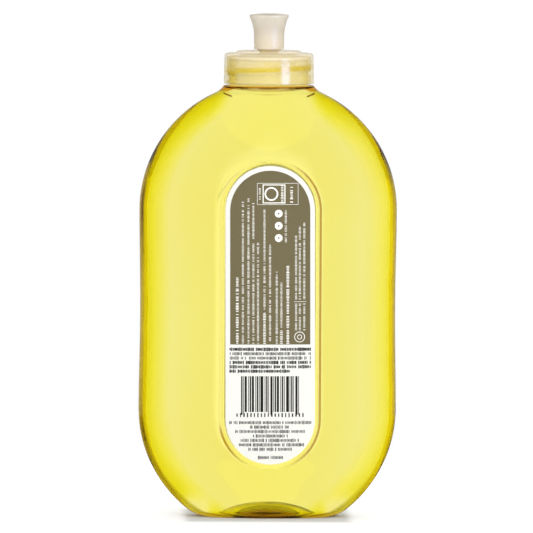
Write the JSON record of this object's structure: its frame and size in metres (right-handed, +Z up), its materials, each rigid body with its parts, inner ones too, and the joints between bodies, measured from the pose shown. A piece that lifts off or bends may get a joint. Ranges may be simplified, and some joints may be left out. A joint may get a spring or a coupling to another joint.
{
  "type": "floor cleaner bottle",
  "caption": "Clear round-ended oval bottle filled with yellow floor cleaner, with a label on each broad side and a screw closure that carries a push-pull spout.",
  "frame": {"origin": "middle of the foot, on the surface the bottle stands on", "axes": "+Z up along the neck; the information label faces -Y; +X to the right when that label is read"},
  "size_m": [0.116, 0.05, 0.2265],
  "materials": {
    "clear_pet": "clear blown PET, smooth and glossy",
    "cleaner_liquid": "clear yellow liquid",
    "label_film": "smooth white label film",
    "olive_ink": "flat printed ink",
    "white_ink": "flat printed ink",
    "dark_ink": "flat printed ink",
    "seal_foam": "dense foam",
    "closure_plastic": "milky moulded polypropylene",
    "spout_plastic": "milky moulded polyethylene"
  },
  "bodies": {
    "bottle": {"bottle": "clear_pet", "liquid": "cleaner_liquid", "information_label": "label_film", "label_field": "olive_ink", "field_print": "white_ink", "label_print": "dark_ink", "front_label": "label_film", "front_field": "olive_ink"},
    "seal": {"sealing_ring": "seal_foam"},
    "cap": {"closure": "closure_plastic"},
    "spout": {"spout": "spout_plastic"}
  },
  "joints": [
    {"name": "cap_rise", "type": "slide", "parent": "bottle", "child": "seal", "axis": [0, 0, 1], "range_m": [0, 0.0127]},
    {"name": "cap_turn", "type": "hinge", "parent": "seal", "child": "cap", "pos_m": [0, 0, 0.2], "axis": [0, 0, 1], "range_deg": [0, 1080]},
    {"name": "spout_pull", "type": "slide", "parent": "cap", "child": "spout", "axis": [0, 0, 1], "range_m": [0, 0.0045]}
  ],
  "couplings": [
    {"joint": "cap_rise", "follows": "cap_turn", "m_per_rad": 0.00067322}
  ]
}
